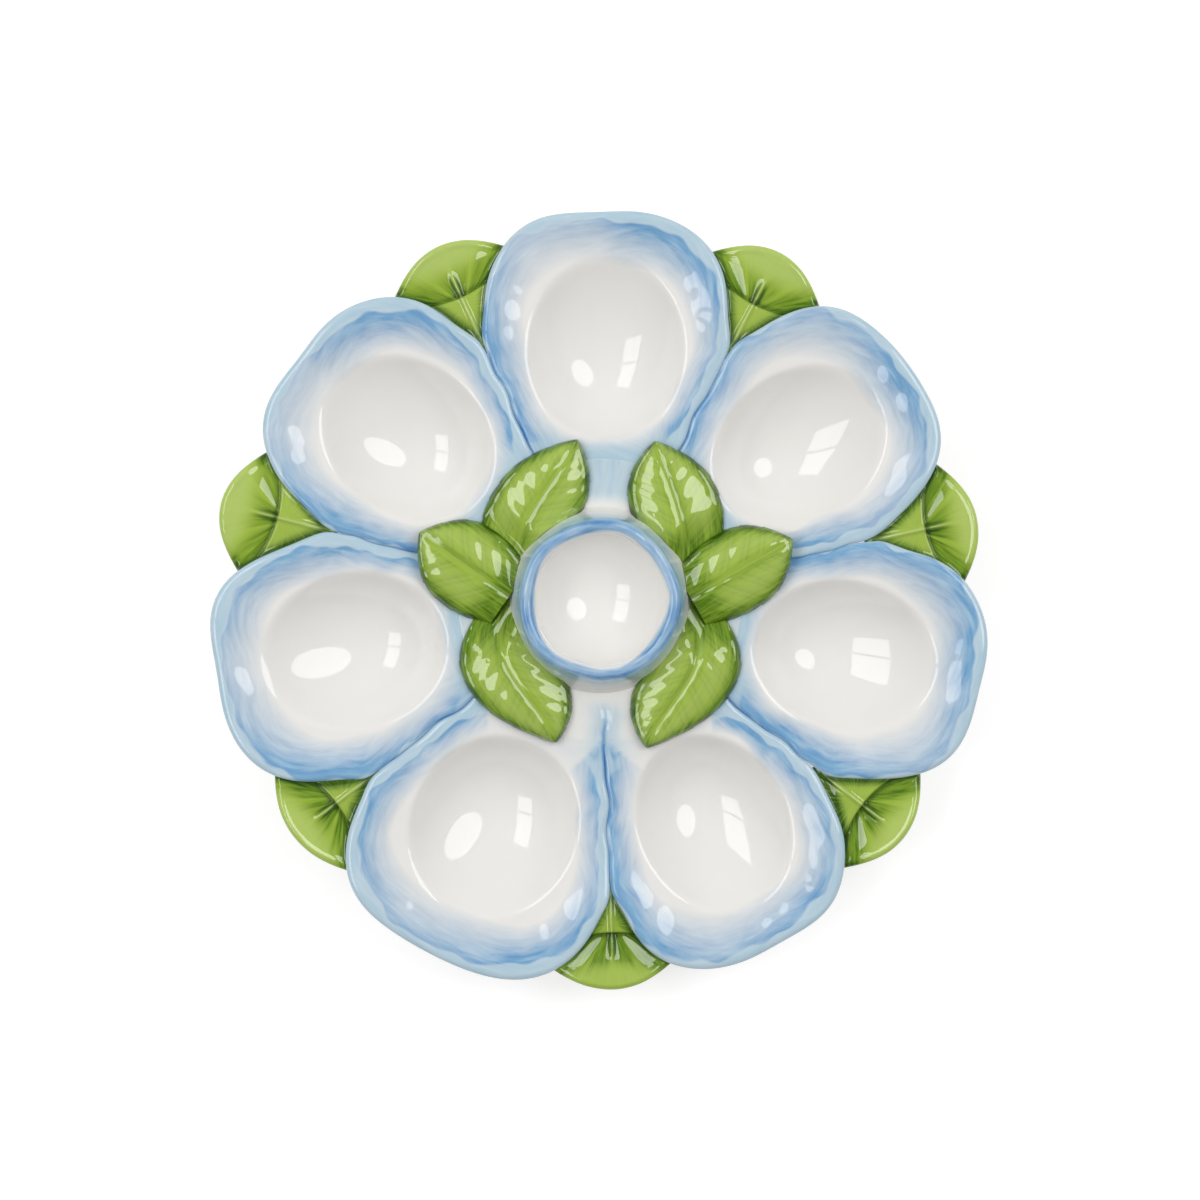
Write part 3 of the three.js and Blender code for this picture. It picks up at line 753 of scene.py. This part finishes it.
def sprig_axes(name):
    """A leaf's base, its unit vectors along and to the right, its length, and the sign of the side
    that faces away from the cup, in plan."""
    base_turn, tip_turn, tip_reach = SPRIGS[name][:3]
    turns = np.radians([base_turn, tip_turn])
    reaches = np.array([SPRIG_BASE, HUB_RADIUS + tip_reach])
    base, tip = spread(reaches * np.sin(turns), reaches * np.cos(turns))
    length = np.hypot(*(tip - base))
    along = (tip - base) / length
    right = np.array([along[1], -along[0]])
    return base, along, right, length, np.sign(right @ (base + tip))


def sprig_plan(name, share, across):
    """Where the points of a leaf lie in plan, and how far each is from the midrib. The half width
    is cut back by saw teeth, the midrib bows away from the cup as a cubic, and points too near the
    cup are moved out."""
    base, along, right, length, outer_side = sprig_axes(name)
    width, bow = SPRIGS[name][3:5]
    tooth = (share * length / TOOTH_SPACING) % 1
    teeth = TOOTH_DEPTH * tooth**2 * ease(0.05, 0.2, share) * ease(1, 0.9, share)
    aside = across * (width / 2 * fullness(share) - teeth * np.abs(across) ** 6)
    off = aside + outer_side * bow * 27 / 4 * share * (1 - share) ** 2
    x, y = (base[i] + along[i] * share * length + right[i] * off for i in (0, 1))
    clear = np.maximum(1, SPRIG_CLEAR / np.hypot(x, y))
    return x * clear, y * clear, aside


print("sprig leaves are", [round(float(sprig_axes(name)[3]), 1) for name in SPRIGS], "mm long")

# %% Relief of a sprig leaf
SPRIG_EDGE, SPRIG_DOME, SPRIG_CREASE, SPRIG_BEAD, PILLOW = 2, 4, 0.5, 0.4, 0.14
VEIN_SPACING, VEIN_LEAN = 6.4, 0.8
PRESSED = 0.2  # thickness that is left under another leaf


def vein_phase(share, across, aside, length, bow):
    """Place between the side veins, a whole number on each: along the midrib, less the veins' lean
    away from it, with a slow wave. The two halves of a leaf are out of step."""
    place = share * length - VEIN_LEAN * np.abs(aside) + 0.8 * np.sin(7 * share + 3 * bow)
    return place / VEIN_SPACING + 0.4 * (across > 0)


def sprig_thickness(share, across, aside, from_edge, phase, open_blade):
    """Thickness of a leaf: an edge that is rounded over, a dome that is a parabola across, pillows
    between the veins and a bead along the edge, less the crease of the midrib."""
    full = np.sqrt(fullness(share))
    edge = SPRIG_EDGE * mix(0.4, 1, full) * np.sqrt(1 - np.abs(across) ** 8)
    crown = SPRIG_DOME * full * (1 - across**2)
    pillows = PILLOW * np.sin(np.pi * phase) ** 2 * open_blade
    bead = SPRIG_BEAD * bell(from_edge - 1.5, 0.9) * ease(0, 0.15, share)
    crease = SPRIG_CREASE * bell(aside, 1.3) * ease(1, 0.85, share)
    return edge + crown + pillows + bead - crease


def under_depth(name, x, y):
    """How far inside the outline of a straight leaf points lie, in millimetres."""
    base, along, right, length, _ = sprig_axes(name)
    share = ((x - base[0]) * along[0] + (y - base[1]) * along[1]) / length
    off = np.abs((x - base[0]) * right[0] + (y - base[1]) * right[1])
    inside = SPRIGS[name][3] / 2 * fullness(np.clip(share, 0, 1)) - off
    return np.minimum(inside, np.minimum(share, 1 - share) * length + 1)


def pressed_under(thick, upper, x, y):
    """The thickness of a leaf that runs under one of the side leaves: it sinks from its own height,
    ten millimetres away, to a thin edge below the other leaf."""
    covered = max((under_depth(other, x, y) for other in OVER_SPRIGS), key=np.max)
    pressed = mix(0.8 * SPRIG_EDGE, PRESSED, ease(0, 1.5, covered)) * upper
    return mix(thick, np.minimum(thick, pressed), ease(-10, 0, covered))


print("sprig leaves rise to", SPRIG_EDGE + SPRIG_DOME - SPRIG_CREASE, "mm at the midrib")

# %% Six sprig leaves
TOP_COLUMNS, UNDER_COLUMNS, SPRIG_ROWS = 91, 9, 110
SPRIG_SEAT = BRIM + 0.02
SIDE_STEP = 60  # keeps the brush marks of a leaf's two halves apart


def sprig_paint(share, across, aside, from_edge, phase, open_blade):
    """Strengths of the brushed, thin and pooled greens: brushed along the edge, at the base and
    beside the midrib and veins, thin on the midrib and halfway across, pooled in patches just
    inside the edge. The brushed green at the base, beside the cup, is partly painted shade."""
    from_vein = np.abs(phase - np.round(phase)) * VEIN_SPACING * 0.75
    beside_vein = bell(from_vein - 0.7, 0.6) * open_blade
    vein = bell(from_vein, 0.4) * open_blade * (1 - 0.6 * np.abs(across))
    midrib = bell(aside, 0.3) * ease(1, 0.8, share)
    halfway = bell(np.abs(across) - 0.45, 0.3) * ease(0.1, 0.4, share)
    patches = (0.8 + 0.5 * np.sin(share * 23 + 3 * across)) * ease(0.02, 0.12, share)
    # darker at the base beside the cup: partly brushed green, partly painted shade
    brushed = 1.2 * bell(from_edge, 3) + 0.8 * ease(0.35, 0, share) + 0.2 * beside_vein + 0.3
    return spread(
        brushed + 0.35 * bell(aside - 1.2, 1.2),
        0.3 * midrib + 0.1 * vein + 0.45 * halfway,
        bell(from_edge - 0.5, 1.2) * patches,
    )


share = np.r_[0, np.linspace(0, 1, SPRIG_ROWS)][:, None]
across = np.r_[np.linspace(-1, 1, TOP_COLUMNS), np.linspace(0.94, -0.94, UNDER_COLUMNS)]
upper = np.repeat([1, 0], [TOP_COLUMNS, UNDER_COLUMNS])
open_blade = ease(0.04, 0.2, np.abs(across)) * (1 - np.abs(across) ** 6) * ease(1, 0.85, share)
for name, (_, _, _, width, bow, lift) in SPRIGS.items():
    length = sprig_axes(name)[3]
    x, y, aside = sprig_plan(name, share, across)
    from_edge = width / 2 * fullness(share) * (1 - np.abs(across))
    phase = vein_phase(share, across, aside, length, bow)
    blade = (share, across, aside, from_edge, phase, open_blade)
    thick = sprig_thickness(*blade) * upper
    if name not in OVER_SPRIGS:
        thick = pressed_under(thick, upper, x, y)
    points = spread(x, y, SPRIG_SEAT + lift * share**2 + thick)
    points[0], points[-1] = points[0].mean(0), points[-1].mean(0)
    paint = np.clip(sprig_paint(*blade), 0, 1)
    brush = spread(share * length - np.abs(aside), SIDE_STEP * np.sign(across), aside)
    add_piece(f"sprig_leaf_{name}", green_glaze, points, paint, brush)

# %% [markdown]
# ## Fan leaves
#
# A pressed leaf like an opened fan fills each outer notch. Its sides follow the rims of the dishes
# beside it, so they come from the dishes' own formula, and its outer edge is a parabola. The grid
# runs from the middle of the leaf to this outline. A fold crosses it, with sunk veins beyond.

# %% Outline of a fan leaf
TRAY_RADIUS = 130
FAN_TUCK = 1.4  # how far the leaf runs in under the rims beside it
FAN_GROWTHS = [1, -0.9, -0.8, 0.5, -0.4, 1, 0.2]  # how far each leaf stands out beyond the circle
FAN_TIP, FAN_CORNER = 93, 45  # where its sides start and end, in degrees about the dishes' wells
FAN_COLUMNS = 240


def fan_side(dish, degrees):
    """The edge of a dish beside a seam, across and along the seam's own line."""
    angle = np.radians(degrees)
    edge = spokes(dish % DISHES, angle)[1]
    x, y = edge * np.sin(angle), WELL_PLACE + edge * np.cos(angle)
    lean = np.sign(angle) * SEAM_ANGLE
    return x * np.cos(lean) - y * np.sin(lean), x * np.sin(lean) + y * np.cos(lean)


def fan_outline(index):
    """Points evenly spaced round a leaf: up along the dish before the seam, over the outer
    parabola, and back down along the dish after it."""
    degrees = np.linspace(FAN_TIP, FAN_CORNER, 60)
    left_x, left_y = fan_side(index, degrees)
    right_x, right_y = fan_side(index + 1, -degrees)
    arc = np.linspace(-1, 1, 80)
    corner_x = np.where(arc < 0, -left_x[-1], right_x[-1])
    corner_y = np.where(arc < 0, left_y[-1], right_y[-1])
    arc_y = mix(TRAY_RADIUS + FAN_GROWTHS[index], corner_y, arc**2)
    x = np.r_[left_x - FAN_TUCK, arc * corner_x, right_x[::-1] + FAN_TUCK]
    y = np.r_[left_y, arc_y, right_y[::-1]]
    x, y = np.r_[x, x[0]], np.r_[y, y[0]]
    walked = np.r_[0, np.cumsum(np.hypot(np.diff(x), np.diff(y)))]
    even = np.linspace(0, walked[-1], FAN_COLUMNS, endpoint=False)
    return np.interp(even, walked, x), np.interp(even, walked, y)


fan_widths = [np.ptp(fan_outline(index)[0]) for index in range(DISHES)]
print("fan leaves are", np.round(fan_widths, 1), "mm wide")

# %% Relief and paint of a fan leaf
FAN_VEINS = 11  # waves of the fan of veins in one turn
FAN_CROWN, FAN_RIB, FAN_BEAD, FAN_EDGE = 1.2, 0.8, 0.4, 1.4
FAN_DIP, FAN_LIP, FAN_TIP_DROP = -2, 1.2, 1.6  # just beyond the fold, at the outer edge, at the tip


def fan_relief(x, y, rows, width, beyond, ray):
    """Height of a leaf above its seat: a crown before the fold, a dip beyond it that climbs to the
    outer edge, veins, a rib along the middle and a bead along the outline, less the drop of the tip
    and the rounding of the edge."""
    crown = FAN_CROWN * (1 - np.clip(np.abs(x) / (width + 0.5), 0, 1) ** 2) * ease(92, 112, y)
    dip = ease(-0.4, 0.5, beyond) * mix(FAN_DIP, FAN_LIP, np.clip(beyond / 16, 0, 1))
    veins = 0.2 * np.cos(FAN_VEINS * ray) * ease(0, 4, beyond) * ease(14, 7, beyond)
    rib = FAN_RIB * bell(x, 0.8) * ease(11, 4, beyond)
    bead = FAN_BEAD * bell((1 - rows) * 13 - 1.5, 0.9)
    tip = FAN_TIP_DROP * ease(106, 94, y)
    edge = FAN_EDGE * (1 - np.sqrt(np.clip(1 - rows**14, 0, 1)))
    return crown + dip + veins + rib + bead - tip - edge


def fan_paint(x, width, beyond, ray, load):
    """Strengths of the brushed, thin and pooled greens: brushed beyond the fold between the veins
    and along the rims, thin on the rib and towards the outer edge, pooled against the rims, in the
    fold and beside the rib. The dark along and against the rims is partly painted shade where the
    leaf meets them, and a higher load darkens a whole leaf, partly as painted shade."""
    from_rim = width - np.abs(x)
    rays = np.clip(np.cos(FAN_VEINS * ray), 0, 1) ** 2
    shaded = ease(-0.2, 0.4, beyond) * ease(14, 1, beyond) * mix(1, 0.3, rays)
    # painted shade, with pooled glaze, along the rims where the leaf runs under them
    pool_and_shade_by_rim = bell(np.clip(from_rim - 2.4, 0, None), 1.8) * ease(9, 4, beyond)
    brushed = load * (1.2 * shaded + 0.15) + 1.3 * pool_and_shade_by_rim + 0.2 * ease(1, -1, beyond)
    rib = bell(x, 0.45) * ease(11, 4, beyond)
    thin = 0.9 * rib + 0.7 * ease(6, 14, beyond) + 0.2 * ease(0.5, -1, beyond)
    # painted shade, with pooled glaze, against the rims
    pool_and_shade_at_rim = bell(np.clip(from_rim - 2.1, 0, None), 1.1) * ease(8, 4, beyond)
    by_rib = bell(np.abs(x) - 1.1, 0.7) * ease(0, 0.5, beyond) * ease(10, 3, beyond)
    pooled = 0.9 * pool_and_shade_at_rim + 0.6 * bell(beyond - 0.9, 0.9) + 0.9 * by_rib
    return spread(brushed, (1.5 - 0.5 * load) * thin, pooled)


print("a fold", -FAN_DIP, "mm deep, with", FAN_VEINS, "waves of veins to a turn")

# %% Seven fan leaves
FAN_SINK, FAN_DROOP, FAN_THICKNESS = 1.6, 1, 4  # below the rims, more at the outer edge
FAN_MIDDLE, FOLD_PLACE = 116, 111.3  # from the middle of the tray
FOLD_BEND, VEIN_START = 0.014, 3  # outwards at the sides; veins spring from before the fold
# more dark green on the lower leaves: partly each leaf's own glaze, partly painted shade
FAN_DARK_AND_SHADE = [0.68, 0.85, 1, 2, 0.9, 0.62, 0.58]  # how much dark paint each leaf was given
FAN_STROKE_RADIUS, FAN_STEP = 14, 60  # keep the brush marks of the leaves apart
FAN_ROWS, FAN_UNDER_ROWS = 60, 6

one_side = slice(FAN_COLUMNS // 3)  # the first third of an outline runs up along a rim
rows = np.r_[np.linspace(0, 0.96, FAN_UNDER_ROWS), 1, 1, np.linspace(1, 0, FAN_ROWS)[1:]][:, None]
upper = np.repeat([0, 0, 0.5, 1], [FAN_UNDER_ROWS, 1, 1, FAN_ROWS - 1])[:, None]
for index in range(DISHES):
    outline_x, outline_y = fan_outline(index)
    x, y = rows * outline_x, mix(FAN_MIDDLE, outline_y, rows)
    beyond = y - FOLD_PLACE - FOLD_BEND * x**2
    ray = np.arctan2(x, y - FOLD_PLACE + VEIN_START)
    width = np.interp(y, outline_y[one_side], np.abs(outline_x[one_side]))
    seat = BRIM + RIM_RISE - FAN_SINK - FAN_DROOP * ease(HUB_RADIUS, TRAY_RADIUS, y) ** 6
    top = seat + fan_relief(x, y, rows, width, beyond, ray)
    height = mix(seat - FAN_THICKNESS, top, upper)
    turn = (2 * index + 1) * SEAM_ANGLE + np.arctan2(x, y)
    points = hand_placed(turn, np.hypot(x, y), height)
    # the lower leaves get more dark green and less pale green, partly as painted shade
    paint = fan_paint(x, width, beyond, ray, FAN_DARK_AND_SHADE[index]) * upper[..., None]
    brush = spread(np.hypot(x, beyond), FAN_STEP * index, FAN_STROKE_RADIUS * ray)
    name = f"fan_leaf_{index + 1}"
    add_piece(name, green_glaze, points, np.clip(paint, 0, 1), brush)

# %% [markdown]
# ## Floor and light
#
# The tray stands on plain white under soft studio light: a round lamp, a window of two panes and a
# white surround. The shapes of the lamps matter, because a glossy glaze mirrors them in every well.
# The floor glows a little for the camera, so that it comes out white, and still takes the shadow.

# %% White floor
FLOOR_SIZE = 4000
FLOOR_GLOW = 0.62

floor_mesh = bpy.data.meshes.new("floor")
corners = FLOOR_SIZE / 2 * MM * np.array([[-1, -1, 0], [1, -1, 0], [1, 1, 0], [-1, 1, 0]])
floor_mesh.from_pydata(corners.tolist(), [], [[0, 1, 2, 3]])
floor = add_object("floor", floor_mesh)

# Matt paper has no highlights of its own, so only the tray's soft shadow shows on it.
paper, tree, shader = new_material("white paper")
shader.inputs["Base Color"].default_value = linear("#c8c8c8")
shader.inputs["Roughness"].default_value = 0.9
shader.inputs["Emission Color"].default_value = linear("#ffffff")
rays = add_node(tree, "LightPath")
seen = rays["Is Camera Ray"]
for kind in ("Is Glossy Ray", "Is Transmission Ray"):
    seen = add_node(tree, "Math", {0: seen, 1: rays[kind]}, operation="MAXIMUM")[0]
glow = add_node(tree, "Math", {0: seen}, {1: FLOOR_GLOW}, operation="MULTIPLY")[0]
tree.links.new(glow, shader.inputs["Emission Strength"])
floor_mesh.materials.append(paper)
print("floor of", paper.name, "that glows at", FLOOR_GLOW)

# %% Lamps
ROUND_LAMP, ROUND_SIZE, ROUND_POWER = (766, 293, 1100), 760, 5  # place, size, watts
WINDOW_LAMP, WINDOW_WIDTH, WINDOW_POWER = (-704, 99, 1100), 480, 6
WINDOW_PANES = {"lower pane": (-275, 690), "upper pane": (375, 490)}  # places and lengths along it


def add_lamp(name, place, aside, size, power, shape):
    """A flat lamp at a place, shifted aside, that faces the way from its place to the middle of the
    tray. Its axes are its right, the cross product of right and facing, and the way behind it."""
    data = bpy.data.lights.new(name, "AREA")
    data.shape, data.energy = shape, power
    data.size, data.size_y = (MM * side for side in size)
    lamp = add_object(name, data)
    facing = -np.array(place, float) / np.linalg.norm(place)
    right = np.cross(facing, [0, 0, 1])
    right = right / np.linalg.norm(right)
    stands = MM * (np.array(place) + aside * right)
    axes = np.stack([right, np.cross(right, facing), -facing, stands], -1)
    lamp.matrix_world = Matrix([*axes.tolist(), [0, 0, 0, 1]])


add_lamp("round lamp", ROUND_LAMP, 0, (ROUND_SIZE, ROUND_SIZE), ROUND_POWER, "DISK")
glass = sum(length for _, length in WINDOW_PANES.values())
for name, (aside, length) in WINDOW_PANES.items():
    pane_power = WINDOW_POWER * length / glass
    add_lamp(name, WINDOW_LAMP, aside, (length, WINDOW_WIDTH), pane_power, "RECTANGLE")
print("lamps:", [light.name for light in bpy.data.lights])

# %% Surround
SURROUND = 0.48
SURROUND_LEAN = 0.5  # how much brighter it is towards the top of the picture
SURROUND_MIRRORED = 0.3  # share of it that the glaze mirrors

world = bpy.data.worlds.new("white surround")
world.use_nodes = True
scene.world = world
tree = world.node_tree
background = tree.nodes["Background"]
background.inputs["Color"].default_value = linear("#ffffff")
way = add_node(tree, "TexCoord")["Generated"]
northward = add_node(tree, "SeparateXYZ", {0: way})[1]
leaning = {1: SURROUND * SURROUND_LEAN, 2: SURROUND}
strength = add_node(tree, "Math", {0: northward}, leaning, operation="MULTIPLY_ADD")[0]
mirrored = add_node(tree, "LightPath")["Is Glossy Ray"]
shown = add_node(tree, "MapRange", {0: mirrored}, {3: 1, 4: SURROUND_MIRRORED})[0]
strength = add_node(tree, "Math", {0: strength, 1: shown}, operation="MULTIPLY")[0]
tree.links.new(strength, background.inputs["Strength"])
print("surround from", SURROUND * (1 - SURROUND_LEAN), "to", SURROUND * (1 + SURROUND_LEAN))
